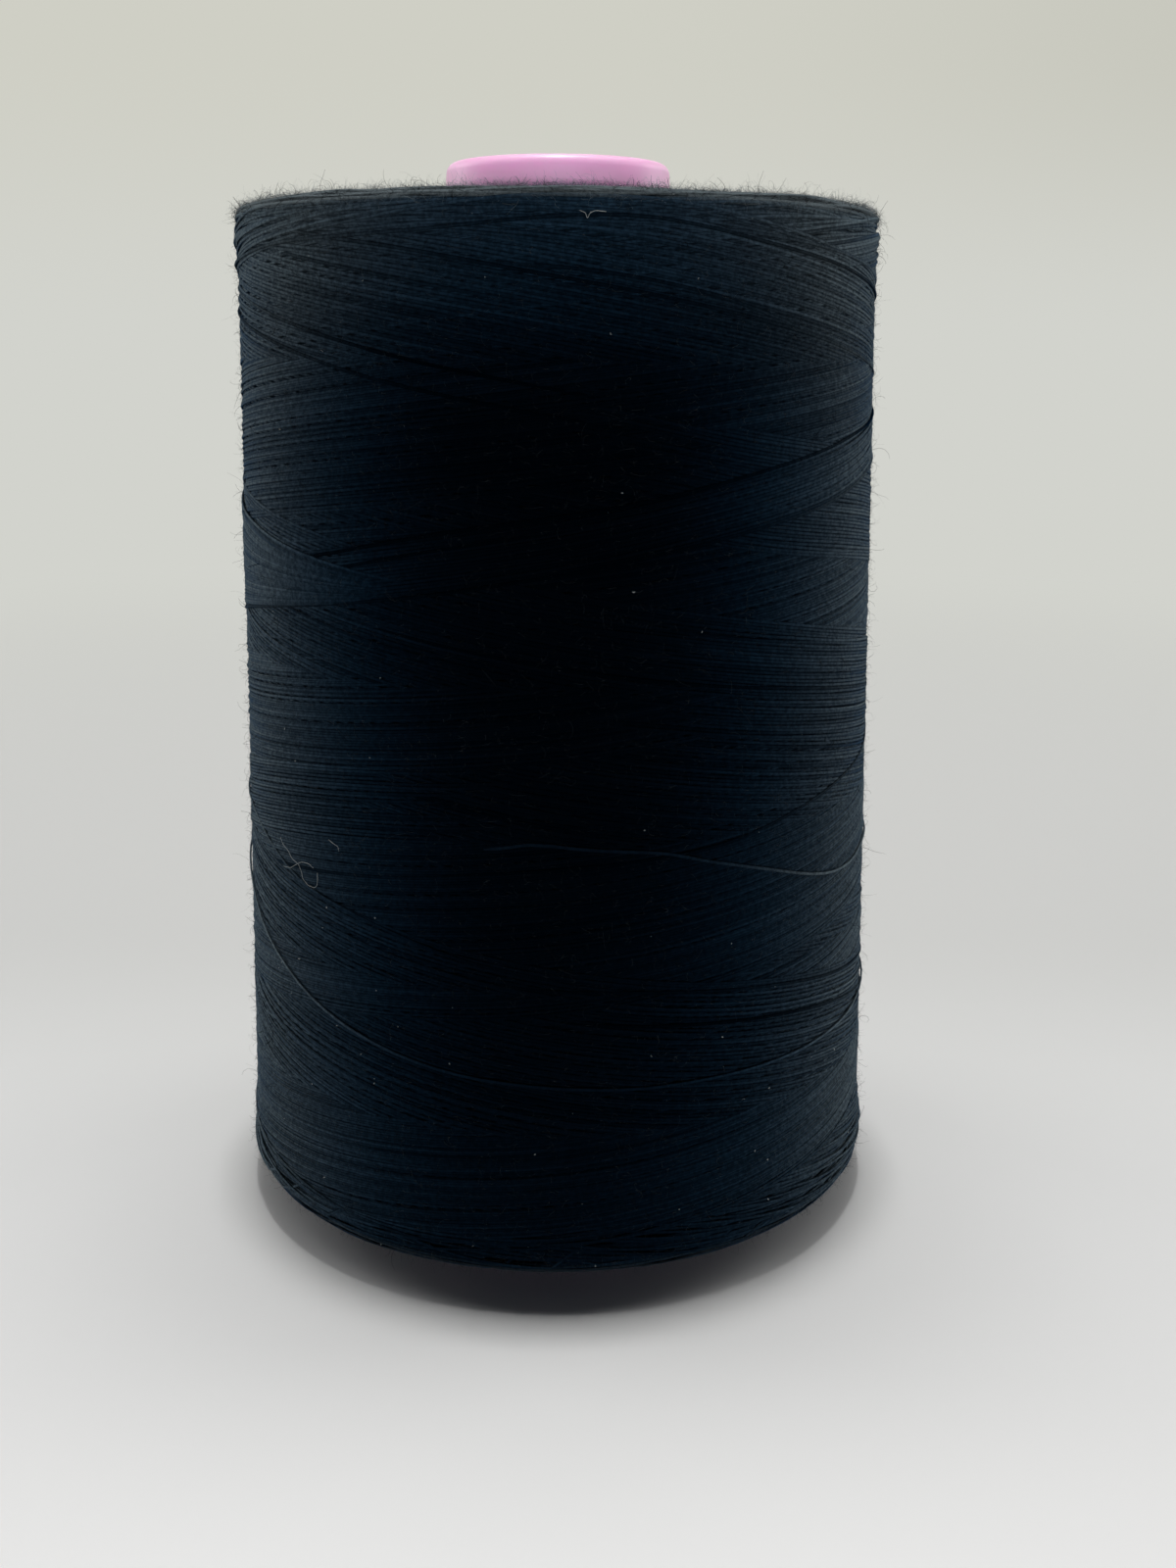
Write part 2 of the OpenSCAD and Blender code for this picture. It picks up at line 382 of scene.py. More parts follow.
class Wire:
    """A socket of a material's tree, on which arithmetic adds Math nodes."""

    def __init__(self, finish, socket):
        self.finish = finish
        self.socket = socket

    def __add__(self, other):
        return self.finish.reckon("ADD", self, other)

    def __mul__(self, other):
        return self.finish.reckon("MULTIPLY", self, other)

    def __sub__(self, other):
        return self.finish.reckon("SUBTRACT", self, other)

    def __rsub__(self, other):
        return self.finish.reckon("SUBTRACT", other, self)

    def __pow__(self, other):
        return self.finish.reckon("POWER", self, other)

    def __rpow__(self, other):
        return self.finish.reckon("POWER", other, self)

    __radd__ = __add__
    __rmul__ = __mul__


class Finish:
    """A node tree that is written as expressions."""

    def __init__(self, tree):
        self.tree = tree
        self.tree.nodes.clear()

    def node(self, kind, settings=None, inputs=None, output=0):
        """Adds a node: its settings, then the values or wires of its sockets."""
        made = self.tree.nodes.new(kind)
        for name, value in (settings or {}).items():
            setattr(made, name, value)
        for name, value in (inputs or {}).items():
            if isinstance(value, Wire):
                self.tree.links.new(value.socket, made.inputs[name])
            else:
                made.inputs[name].default_value = value
        return Wire(self, made.outputs[output]) if len(made.outputs) else None

    def reckon(self, operation, first, second=0.0, clamp=False):
        settings = {"operation": operation, "use_clamp": clamp}
        return self.node("ShaderNodeMath", settings, {0: first, 1: second})

    def clamped(self, value):
        return self.reckon("ADD", value, 0.0, clamp=True)

    def sine(self, value):
        return self.reckon("SINE", value)

    def step(self, value, low, high):
        """0 below low, 1 above high and smooth between."""
        return self.node(
            "ShaderNodeMapRange",
            {"interpolation_type": "SMOOTHSTEP"},
            {"Value": value, "From Min": low, "From Max": high},
        )

    def mix(self, share, first, second):
        """A colour between two: the Mix node's colours are its sockets 6 and 7."""
        colors = {0: share, 6: first, 7: second}
        return self.node("ShaderNodeMix", {"data_type": "RGBA"}, colors, output=2)

    def between(self, share, first, second):
        """A way between two, of length 1: the Mix node's vectors are its sockets 4 and 5."""
        ways = {0: share, 4: first, 5: second}
        way = self.node("ShaderNodeMix", {"data_type": "VECTOR"}, ways, output=1)
        return self.node("ShaderNodeVectorMath", {"operation": "NORMALIZE"}, {0: way})

    def noise(self, place, scale, detail=2.0, roughness=0.5):
        inputs = {"Vector": place, "Scale": scale, "Detail": detail, "Roughness": roughness}
        return self.node("ShaderNodeTexNoise", None, inputs)

    def place(self):
        """Where on the object a point is, in metres."""
        return self.node("ShaderNodeTexCoord", output="Object")

    def kept(self, name, output):
        """What a mesh holds at each point under this name."""
        return self.node("ShaderNodeAttribute", {"attribute_name": name}, output=output)

    def part(self, vector, which):
        """One of a vector's three numbers."""
        return self.node("ShaderNodeSeparateXYZ", None, {0: vector}, output=which)

    def ray(self, kind):
        """1 for rays of this kind and 0 for others."""
        return self.node("ShaderNodeLightPath", output=f"Is {kind} Ray")

    def seen(self):
        """1 where the eye looks, straight or by a reflection or a clear thing, and 0 for light."""
        return self.clamped(self.ray("Camera") + self.ray("Glossy") + self.ray("Transmission"))

    def stretched(self, place, scale):
        inputs = {"Vector": place, "Scale": scale}
        return self.node("ShaderNodeMapping", {"vector_type": "POINT"}, inputs)

    def bump(self, height, distance, strength=1.0, under=None):
        inputs = {"Height": height, "Distance": distance, "Strength": strength}
        if under is not None:
            inputs["Normal"] = under
        return self.node("ShaderNodeBump", None, inputs)


def material(name):
    """A new material and its empty node tree."""
    made = bpy.data.materials.new(name)
    made.use_nodes = True
    return made, Finish(made.node_tree)


def surfaced(finish, sockets):
    """Gives a finish one Principled surface."""
    shader = finish.node("ShaderNodeBsdfPrincipled", None, sockets)
    finish.node("ShaderNodeOutputMaterial", None, {"Surface": shader})


def rgb(red, green, blue):
    """A colour as a screen shows it, 0 to 255, in the numbers that a shader takes."""
    shares = np.array([red, green, blue]) / 255
    return (*np.where(shares < 0.04, shares / 12.92, ((shares + 0.055) / 1.055) ** 2.4), 1)


BLUE_BLACK = rgb(0, 2, 5)
WORN_BLACK = rgb(5, 10, 17)
PLIES = 2.0
PLY_GROOVE_SHADE = rgb(1, 3, 5)
SHEEN_TINT = rgb(0, 160, 255)
HAZE_NEAR = rgb(46, 86, 116)
HAZE_EDGE = rgb(102, 115, 121)
# The haze's colour on faces turned up: painted light from above
TOP_LIT_HAZE = rgb(96, 105, 108)
# Fuzz bridges the strands, so light sees them this much flatter than they are
BRIDGED = 0.5


def thread_finish(name, twisted, sheen=0.23):
    """Spun thread: blue-black, uneven along each strand, with its plies' twist, a soft sheen, fuzz
    haze, and painted light and shade.
    """
    made, f = material(name)
    place = f.place()
    tone = f.kept("tone", "Fac")
    cloud = f.noise(place, 60.0, 3.0)
    specks = f.noise(place, 2600.0, 2.0, 0.7)
    fibres = f.noise(f.stretched(place, (1, 1, 3.5)), 1500.0, 3.0, 0.65)
    # The base colour varies at random, and with the strays' paleness, which is painted light and
    # shade
    wear_and_painted_light = f.clamped(tone * 0.55 + cloud * 0.5 + f.step(specks, 0.6, 0.75) * 0.35 - 0.35)
    color = f.mix(wear_and_painted_light, BLUE_BLACK, WORN_BLACK)
    height = fibres
    painted_groove_shade = 1.0
    tone_and_painted_light = 0.7
    skin_way = f.node("ShaderNodeNewGeometry", output="Normal")
    bridged = None
    if twisted:
        round_strand = f.node("ShaderNodeUVMap", {"uv_map": "twist"})
        over = f.part(round_strand, 1)
        plies = f.sine((f.part(round_strand, 0) + over * PLIES) * (2 * math.pi))
        height = fibres + plies * 0.06
        # Painted shade: the grooves between the plies are darker
        color = f.mix(f.clamped(0.1 - plies * 0.1), color, PLY_GROOVE_SHADE)
        # Painted shade: the haze is thin in the grooves between strands and full on their crests,
        # so the grooves stay dark
        painted_groove_shade = 0.27 + f.step(f.sine(over * (2 * math.pi) + math.pi / 2), 0.1, 0.95)
        # The haze follows each strand's paleness, which on the strays is painted light and shade
        tone_and_painted_light = 0.3 + tone * 1.4
        own_way = skin_way
        skin_way = f.kept("outward", "Vector")
        bridged = f.between(BRIDGED, own_way, skin_way)
    normal = f.bump(height, 0.00004, 0.7, bridged)
    thread = f.node("ShaderNodeBsdfPrincipled", None, {
        "Base Color": color,
        "Roughness": 0.8 + fibres * 0.2,
        "Specular IOR Level": 0.0,
        "Sheen Weight": sheen,
        "Sheen Roughness": 0.3,
        "Sheen Tint": SHEEN_TINT,
        "Normal": normal,
    })
    # The fuzz's haze: thick where seen along the skin. More of it on the faces turned up and near
    # the top is painted light from above, and less where the skin faces down is painted shade
    facing_eye = {"Blend": 0.5, "Normal": skin_way}
    edge_on = f.node("ShaderNodeLayerWeight", None, facing_eye, output="Facing")
    felt = f.step(f.noise(place, 2100.0, 4.0, 0.75), 0.38, 0.64)
    up = f.step(f.part(skin_way, 2), 0.05, 0.45)
    not_down = 0.2 + f.step(f.part(skin_way, 2), -0.55, -0.05) * 0.8
    high = f.step(f.part(place, 2), 0.084, 0.113)
    # Painted highlight: the palest strays, which stand proud, get more haze and a greyer one
    pale = f.clamped(tone - 1.05)
    # Painted light: more haze near the top of the side, where more light falls
    settled = high * high * (0.15 + edge_on * 0.2)
    standing = edge_on ** 1.75 * 0.68 * not_down
    thick = (standing + settled) * painted_groove_shade * tone_and_painted_light + pale * 0.12 + 0.002
    painted_upward_light = up * (0.12 + edge_on * (0.4 + felt * 0.4))
    share = f.clamped(thick * (0.5 + cloud * 0.35 + felt * 0.8) + painted_upward_light)
    # The haze is greyer where seen edge-on, and greyer near the top and on the palest strays as
    # painted light
    haze_tint = f.mix(f.step(edge_on + high * 0.3 + pale, 0.1, 0.75), HAZE_NEAR, HAZE_EDGE)
    haze = f.node("ShaderNodeBsdfPrincipled", None, {
        "Base Color": f.mix(up, haze_tint, TOP_LIT_HAZE),
        "Roughness": 1.0,
        "Specular IOR Level": 0.0,
        "Normal": normal,
    })
    mixed = f.node("ShaderNodeMixShader", None, {0: share, 1: thread, 2: haze})
    f.node("ShaderNodeOutputMaterial", None, {"Surface": mixed})
    return made


def fuzz_finish(name, color, sheen, gloss=0.3):
    """Loose fibres of one colour."""
    made, f = material(name)
    surfaced(f, {
        "Base Color": color,
        "Roughness": 0.8,
        "Specular IOR Level": gloss,
        "Sheen Weight": sheen,
        "Sheen Roughness": 0.5,
    })
    return made


PINK = rgb(254, 176, 216)
PALER_PINK = rgb(255, 184, 222)
SCUFFED_PINK = rgb(255, 214, 238)


def core_finish():
    """Satin pink plastic, a little cloudy, with the faint rings that its mould left."""
    made, f = material("core_pink_plastic")
    place = f.place()
    cloud = f.noise(place, 90.0, 3.0)
    grain = f.noise(place, 4200.0, 2.0, 0.6)
    rings = f.noise(f.stretched(place, (0.02, 0.02, 1.0)), 1400.0, 2.0, 0.6)
    scuffs = f.step(f.noise(f.stretched(place, (1, 1, 3)), 420.0, 4.0, 0.7), 0.62, 0.72)
    color = f.mix(f.clamped(cloud * 1.4 - 0.2), PINK, PALER_PINK)
    color = f.mix(scuffs * 0.12, color, SCUFFED_PINK)
    surfaced(f, {
        "Base Color": color,
        "Roughness": 0.34 + grain * 0.12 + scuffs * 0.1,
        "Specular IOR Level": 0.5,
        "Subsurface Weight": 0.6,
        "Subsurface Radius": (1.0, 0.7, 0.9),
        "Subsurface Scale": 0.004,
        "Coat Weight": 0.08,
        "Coat Roughness": 0.3,
        "Normal": f.bump(grain * 0.4 + rings, 0.00002, 0.35),
    })
    return made


strand_thread = thread_finish("thread_strands", True)
# A darker copy of the thread with less sheen, for strays that stand for shadow lines: painted shade
painted_shade_thread = thread_finish("thread_painted_shade", True, 0.08)
deep_thread = thread_finish("thread_underneath", False)
dark_fuzz = fuzz_finish("thread_fuzz", rgb(14, 21, 26), 0.1)
black_hair = fuzz_finish("thread_hair", rgb(5, 8, 10), 0.0, 0.05)
# Pale fuzz for the top shoulder: painted light from above
painted_light_fuzz = fuzz_finish("shoulder_fuzz", rgb(92, 102, 106), 0.1)
pale_lint = fuzz_finish("pale_lint", rgb(150, 154, 152), 0.2)
pink_plastic = core_finish()

# ---- The winding ----

# Where the side's strands turn back, on the rounded edges
shoulder_low = column_at(WIND_FOOT + FOOT_ROUND) - 1.4
shoulder_high = column_at(WIND_TOP - TOP_ROUND) + 1.3

under_loops = end_face_turns(FOOT_FACE_START, shoulder_low + FACE_PAST_SHOULDER)
top_loops = end_face_turns(section_length - TOP_FACE_START, shoulder_high - FACE_PAST_SHOULDER)
side_strand = side_turns(shoulder_low, shoulder_high)

last_pass = (PASSES - 1) * (RISING_TURNS + FALLING_TURNS + SIDE_BY_SIDE)
side_start = int(round((FRONT - last_pass - LAST_RISE) * STEPS)) % STEPS
runs = [(name, along, first_step, lay(along, first_step)) for name, along, first_step in (
    ("under_turns", under_loops, 0),
    ("top_turns", top_loops, 0),
    ("side_turns", side_strand, side_start),
)]

# Stray strands of the last layers: degrees round from the front, heights on the side, paleness,
# which is painted light and shade (low on the dark shadow lines, high on proud strands that catch
# the light), how far each stands proud, and how far it waves where it is slack
STRAYS = {
    "high_fall": ([-60, -26, 20, 73, 120], [108.0, 105.1, 100.5, 94.6, 89.5], 0.2, 0.03, 0.0),
    "high_fall_2": ([-24, -4, 5, 23, 60], [103.9, 103.4, 103.0, 101.3, 95.2], 0.25, 0.02, 0.0),
    "low_fall": ([-110, -68, -26, 20], [103.0, 98.5, 92.9, 88.0], 0.0, 0.02, 0.0),
    "low_fall_2": ([-110, -68, -26, 20], [105.2, 100.9, 95.4, 90.4], 0.0, 0.02, 0.0),
    "rise_a": (
        [-90, -42, -18, 2, 18, 37, 50, 70, 130],
        [71.5, 76.5, 79.6, 81.3, 83.0, 85.2, 86.7, 88.6, 94.5], 0.0, 0.07, 0.0,
    ),
    "rise_b": ([-90, -42, -18, 18], [69.9, 75.0, 78.1, 81.5], 0.0, 0.06, 0.0),
    "rise_d": (
        [-110, -69, -36, -18, 2, 25, 54, 71, 130],
        [65.5, 69.7, 72.5, 74.0, 76.2, 78.8, 81.8, 84.3, 90.0], 0.0, 0.08, 0.0,
    ),
    "level_e": ([-40, 14, 32, 46, 70, 120], [71.5, 66.1, 64.6, 63.5, 61.3, 56.5], 0.0, 0.06, 0.0),
    "rise_f": ([-30, 12, 27, 45, 64, 120], [46.0, 48.2, 48.8, 51.0, 53.0, 58.0], 0.0, 0.06, 0.0),
    "slack_g": (
        [-17, -10, 3, 15, 21, 29, 38, 50, 63, 70, 120],
        [48.9, 49.3, 50.2, 49.5, 49.0, 47.3, 45.7, 43.6, 41.9, 42.3, 45.0], 1.3, 0.2, 0.12,
    ),
    "fall_h": ([-110, -71, -49, -31, -19, 10], [50.0, 47.7, 42.4, 40.6, 38.5, 35.0], 0.6, 0.1, 0.0),
    "proud_i": (
        [-120, -75, -58, -38, -19, 3, 20, 44, 74, 120],
        [46.0, 39.4, 33.5, 28.6, 26.1, 24.9, 24.5, 24.3, 24.9, 27.5],
        1.25, 0.26, 0.02,
    ),
    "level_k": ([-20, 0, 15, 40, 70, 110], [36.3, 35.1, 34.8, 32.6, 29.5, 26.0], 0.15, 0.04, 0.0),
    "level_l": (
        [-10, 6, 19, 36, 55, 69, 110],
        [32.6, 31.6, 31.0, 29.8, 28.1, 26.2, 21.5], 0.1, 0.06, 0.0,
    ),
    "ledge_j": ([-110, -77, -51, -36, 0], [12.0, 9.6, 8.2, 7.4, 6.5], 0.2, 0.04, 0.0),
    "wedge_top": ([-120, -75, -52, -28, -15], [84.7, 80.1, 77.2, 75.1, 74.4], 0.95, 0.2, 0.0),
    "top_arc": (
        [-110, -75, -50, -24, 5, 15, 35, 73, 110],
        [103.0, 104.6, 105.8, 106.3, 107.7, 107.6, 105.7, 102.3, 99.0],
        -0.05, 0.1, 0.0,
    ),
}
# The last passes lie side by side in bands. Degrees round from the front, the heights of a band's
# lowest and highest strands, and how many strands; those of the wedge close to a point
BANDS = {
    "falling": (
        [5, 25, 37, 67, 120],
        [81.3, 78.8, 77.4, 75.2, 70.7], [92.3, 89.8, 88.4, 86.2, 81.7], 32,
    ),
    "level": (
        [5, 22, 38, 69, 120],
        [62.3, 60.8, 59.2, 56.4, 51.8], [72.3, 70.8, 69.2, 66.4, 61.8], 29,
    ),
    "left": (
        [-115, -67, -50, -30, -5],
        [39.8, 45.6, 47.4, 48.9, 50.1], [47.3, 53.1, 54.9, 56.4, 57.6], 22,
    ),
    "rising": (
        [-69, -36, 2, 25, 54, 71, 130],
        [70.0, 72.8, 76.5, 79.1, 82.1, 84.5, 90.2], [74.8, 77.6, 81.3, 83.9, 86.9, 88.8, 94.8], 15,
    ),
    "wedge": (
        [-120, -75, -52, -28, -15],
        [66.0, 69.4, 71.2, 73.0, 74.1], [84.5, 79.9, 77.0, 74.9, 74.2], 34,
    ),
}


# A short strand's line is smoothed over some steps. It wavers, and where it is slack it waves
SMOOTH_STEPS = 7
WAVER_STEPS = 8
WAVE_STEPS = 3
# How many steps the strands of a band are set off from its start, at most
BAND_SHIFT = 3


def short_run(degrees, heights, wave=0.0, piling=True, shift=0):
    """A strand that is seen for part of a turn, laid over what is there."""
    first_step = int(round((degrees[0] / 360 + FRONT) * STEPS)) + shift
    steps = int(round((degrees[-1] - degrees[0]) / 360 * STEPS))
    asked = degrees[0] + (np.arange(steps + 1) + shift) * 360 / STEPS
    height = smoothed(np.interp(asked, degrees, heights), SMOOTH_STEPS)
    along = column_at(height) + WAVER * slow_noise(len(height), WAVER_STEPS)
    along = along + wave * slow_noise(len(height), WAVE_STEPS)
    return first_step, along, lay(along, first_step, piling)


band_runs = []
for name, (degrees, low, high, strands) in BANDS.items():
    laid = []
    for share in np.linspace(0, 1, strands):
        heights = [bottom + (top - bottom) * share for bottom, top in zip(low, high)]
        shift = 0 if name == "wedge" else int(chance.integers(-BAND_SHIFT, BAND_SHIFT + 1))
        laid.append(short_run(degrees, heights, piling=name != "wedge", shift=shift))
    band_runs.append((name, laid))
stray_runs = []
for name, (degrees, heights, pale, proud, wave) in STRAYS.items():
    stray_runs.append((name, short_run(degrees, heights, wave), pale, proud))

# Winding tension has evened out the pile: broad swells, this many mm up the section and steps
# round, are taken off, and what is left is pressed in to this share of its height
SWELL_ALONG = 1.3
SWELL_ROUND = 3
PRESSED = 0.42


def evened(pile, reach_along, reach_round):
    """The pile's broad swells, smoothed up the section and round it."""
    along = np.hanning(2 * int(reach_along / COLUMN) + 1)
    half = len(along) // 2
    wide = np.pad(pile, ((0, 0), (half, half)), mode="reflect")
    spectrum = np.fft.rfft(wide, axis=1) * np.fft.rfft(along / along.sum(), wide.shape[1])
    smooth = np.fft.irfft(spectrum, wide.shape[1], axis=1)[:, 2 * half:]
    round_way = np.hanning(2 * reach_round + 3)
    total = sum(
        weight * np.roll(smooth, shift, axis=0)
        for shift, weight in zip(range(-reach_round - 1, reach_round + 2), round_way)
    )
    return total / round_way.sum()


swells = evened(piled, SWELL_ALONG, SWELL_ROUND)


def level_at(along, step):
    """The height of the swells under these places."""
    column = np.clip((along / COLUMN).astype(int), 0, swells.shape[1] - 1)
    return swells[step % STEPS, column]


# How much the paleness along a strand swings, and over how many steps
TONE_SWINGS = ((0.13, STEPS // 4), (0.07, 3 * STEPS))


def strand_way(first_step, along, heights, pale=0.5, sink=0.0):
    """The middle line of a laid strand, the way out from the winding there, and how pale it is."""
    steps = first_step + np.arange(len(along))
    span = 7
    level = np.pad(level_at(along, steps), span // 2, mode="edge")
    level = np.convolve(level, np.full(span, 1 / span), "valid")
    depth = PRESSED * (heights - level) - LIE_DEEP - sink
    path, outward = on_winding(along, steps / STEPS, depth)
    tone = pale
    for swing, reach in TONE_SWINGS:
        tone = tone + swing * slow_noise(len(along), reach)
    return path, outward, tone


def strand_piece(name, ways, finish=strand_thread):
    """One piece of strands that are equally long."""
    paths, outward, tone = (np.stack(values) for values in zip(*ways))
    half = (THREAD_HALF_WIDE, THREAD_HALF_HIGH)
    mesh = tube_mesh(name, paths, outward, *half, THREAD_SIDES, tone, STEPS)
    return piece(name, mesh, finish)


# How deep a short strand's ends go, and over how many steps
DIP_DEEP = 0.7
DIP_STEPS = 7
# How far a band stands proud, and how pale it is. Strays up to the last paleness get the darker
# copy of the thread, as painted shade
BAND_PROUD = 0.08
BAND_PALE = 0.58
SHADED_PALE = 0.4


def dipping(count, proud):
    """How deep a short strand lies: it stands proud, and its ends go under its neighbours."""
    end = np.minimum(np.arange(count), np.arange(count)[::-1])
    return DIP_DEEP * np.clip(1 - end / DIP_STEPS, 0, 1) ** 2 - proud


# The most turns in one piece
MOST_TURNS = 190
for name, along, first_step, heights in runs:
    parts = math.ceil(len(along) / (MOST_TURNS * STEPS))
    edges = np.linspace(0, len(along) - 1, parts + 1).astype(int)
    for number, (start, stop) in enumerate(zip(edges[:-1], edges[1:])):
        part = slice(start, stop + 1)
        way = strand_way(first_step + start, along[part], heights[part])
        title = f"{name}_{number + 1}"
        strand_piece(title, [way])

for name, laid in band_runs:
    sink = dipping(len(laid[0][1]), BAND_PROUD)
    ways = [strand_way(*run, pale=BAND_PALE, sink=sink) for run in laid]
    strand_piece(f"band_{name}", ways)

for name, run, pale, proud in stray_runs:
    way = strand_way(*run, pale=pale, sink=dipping(len(run[1]), proud))
    finish = strand_thread if pale > SHADED_PALE else painted_shade_thread
    strand_piece(f"stray_{name}", [way], finish)

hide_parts("outer_turns")


def lathe_mesh(name, radius, height, segments):
    """A closed body of revolution from a closed section."""
    count = len(radius)
    angle = np.arange(segments) * 2 * math.pi / segments
    points = np.stack([
        np.outer(np.cos(angle), radius),
        np.outer(np.sin(angle), radius),
        np.outer(np.ones(segments), height),
    ], axis=-1).reshape(-1, 3) * MM
    index = np.arange(segments * count).reshape(segments, count)
    near, far = index, np.roll(index, -1, axis=0)
    quads = np.stack([near, far, np.roll(far, -1, axis=1), np.roll(near, -1, axis=1)], axis=-1)
    mesh = bpy.data.meshes.new(name)
    mesh.from_pydata(points.tolist(), [], quads.reshape(-1, 4).tolist())
    mesh.polygons.foreach_set("use_smooth", np.ones(len(mesh.polygons), dtype=bool))
    mesh.update()
    return mesh


def under_body():
    """The layers below the skin, which reach almost to the core."""
    every = slice(2, len(section_radius) - 2, UNDER_COLUMNS)
    facing = section_facing[every]
    radius = section_radius[every] - UNDER_DEEP * np.cos(facing)
    height = section_height[every] - UNDER_DEEP * np.sin(facing)
    off_core = 0.05
    radius = np.concatenate([radius, core_side(height[[-1, 0]]) + off_core])
    height = np.concatenate([height, height[[-1, 0]]])
    mesh = lathe_mesh("under_layers", radius, height, UNDER_SEGMENTS)
    piece("under_layers", mesh, deep_thread, ["winding_body"])


under_body()

# ---- The core tube ----


def rounding(middle, radius, start, stop, steps=8):
    """The points of an arc, from one angle to another in degrees."""
    points = []
    for angle in np.radians(np.linspace(start, stop, steps + 1)):
        points.append((middle[0] + radius * math.cos(angle), middle[1] + radius * math.sin(angle)))
    return points


def core_section():
    """The moulded tube cut through: foot rim, side, rounded lip, spindle hole and its sleeve."""
    taper = math.degrees(CORE_TAPER)
    across = CORE_WALL / math.cos(CORE_TAPER)
    lip_middle = (core_side(CORE_TOP - LIP_R) - LIP_R / math.cos(CORE_TAPER), CORE_TOP - LIP_R)
    rim_middle = core_side(0) + RIM_OUT - RIM_R
    return [
        (core_side(0) - across, 0.0),
        *rounding((rim_middle, RIM_R), RIM_R, -90, 0),
        *rounding((rim_middle, RIM_HEIGHT - RIM_R), RIM_R, 0, 90),
        (core_side(RIM_HEIGHT), RIM_HEIGHT),
        *rounding(lip_middle, LIP_R, taper, 90, 14),
        *rounding((BORE_R + MOUTH_R, CORE_TOP - MOUTH_R), MOUTH_R, 90, 180),
        (BORE_R, CORE_TOP - BORE_LENGTH),
        (SLEEVE_R, CORE_TOP - BORE_LENGTH),
        (SLEEVE_R, CORE_TOP - CORE_WALL),
        (core_side(CORE_TOP - CORE_WALL) - across, CORE_TOP - CORE_WALL),
    ]


def core_tube():
    """The moulded tube, with notches cut in its rim."""
    radius, height = np.array(core_section()).T
    mesh = lathe_mesh("moulded_core", radius, height, CORE_SEGMENTS)
    tube = piece("moulded_core", mesh, pink_plastic, ["core_tube"])
    middle = core_side(RIM_HEIGHT) + (RIM_OUT + CORE_WALL) / 2
    size = (RIM_OUT + CORE_WALL, NOTCH_WIDE, 2 * RIM_HEIGHT + 2)
    notch = placed("notches", ring_of_blocks("notches", NOTCHES, middle, 0.0, size))
    cut = tube.modifiers.new("notches", "BOOLEAN")
    cut.object = notch
    cut.solver = "EXACT"
    shaped = tube.evaluated_get(bpy.context.evaluated_depsgraph_get())
    settled = bpy.data.meshes.new_from_object(shaped)
    tube.modifiers.clear()
    tube.data = settled
    bpy.data.objects.remove(notch)


def nose_ribs():
    """The ribs between the sleeve and the tube's wall."""
    low, high = CORE_TOP - BORE_LENGTH, CORE_TOP - CORE_WALL / 2
    inner = SLEEVE_R - RIB_BITE
    outer = core_side(high) - CORE_WALL / math.cos(CORE_TAPER) / 2
    size = (outer - inner, RIB_THICK, high - low)
    mesh = ring_of_blocks("nose_ribs", RIBS, (outer + inner) / 2, (low + high) / 2, size)
    piece("nose_ribs", mesh, pink_plastic)


BLOCK_SIDES = [(0, 1, 3, 2), (4, 6, 7, 5), (0, 4, 5, 1), (2, 3, 7, 6), (0, 2, 6, 4), (1, 5, 7, 3)]


def ring_of_blocks(name, count, radius, height, size):
    """Boxes on a ring round the axis, in one mesh."""
    points, faces = [], []
    for number in range(count):
        turned = Matrix.Rotation(math.radians(number * 360 / count), 4, "Z")
        faces += [tuple(len(points) + corner for corner in side) for side in BLOCK_SIDES]
        for x, y, z in itertools.product((-0.5, 0.5), repeat=3):
            corner = Vector((radius + x * size[0], y * size[1], height + z * size[2]))
            points.append(turned @ corner * MM)
    mesh = bpy.data.meshes.new(name)
    mesh.from_pydata(points, [], faces)
    mesh.update()
    return mesh


core_tube()
nose_ribs()

# ---- The starting tail ----

TAIL_TURNS = 1.4
TAIL_R = 0.15
# How far it lies from the rim, the winding and the core, and where its ends are
TAIL_CLEAR = 0.05
TAIL_OFF_CORE = 0.06
TAIL_LOW_END = 0.3
TAIL_TOP_END = WIND_FOOT + 0.3


def starting_tail():
    """Out of a notch in the rim, round the foot, and up into the winding's underside."""
    low = RIM_HEIGHT + TAIL_CLEAR + TAIL_R
    high = WIND_FOOT - TAIL_CLEAR - 3 * TAIL_R
    steps = int(TAIL_TURNS * STEPS)
    turn = np.arange(steps + 1) / STEPS
    height = low + (high - low) * turn / TAIL_TURNS
    radius = core_side(height) + TAIL_OFF_CORE + TAIL_R
    # Each end stands upright: its points, and how much of a turn it is set aside
    upright, aside = 5, 0.004
    climb = np.linspace(TAIL_LOW_END, low, upright + 1)[:-1]
    dive = np.linspace(high, TAIL_TOP_END, upright + 1)[1:]
    first_turn = np.full(upright, -aside)
    last_turn = np.full(upright, TAIL_TURNS + aside)
    turn = np.concatenate([first_turn, turn, last_turn])
    height = np.concatenate([climb, height, dive])
    radius = np.pad(radius, upright, mode="edge")
    angle = 2 * math.pi * turn
    path = np.stack([np.cos(angle) * radius, np.sin(angle) * radius, height], axis=-1)
    outward = np.stack([np.cos(angle), np.sin(angle), np.zeros(len(angle))], axis=-1)
    tone = 0.5 + 0.2 * slow_noise(len(path), 20)
    path = path[None] * MM
    mesh = tube_mesh("tail_thread", path, outward[None], TAIL_R, TAIL_R, 8, tone, STEPS)
    piece("tail_thread", mesh, strand_thread, ["start_tail"])


starting_tail()

# ---- Fuzz and lint ----

# Fibres: how deep their roots are, how many rings each has, how much more they lie round the
# spool than up it, how much their bend changes from ring to ring, and how thin their tips get
ROOT_DEEP = 0.08
FIBRE_RINGS = 6
FIBRE_ROUND = 1.6
FIBRE_UNSTEADY = 0.5
FIBRE_TIP = 0.45


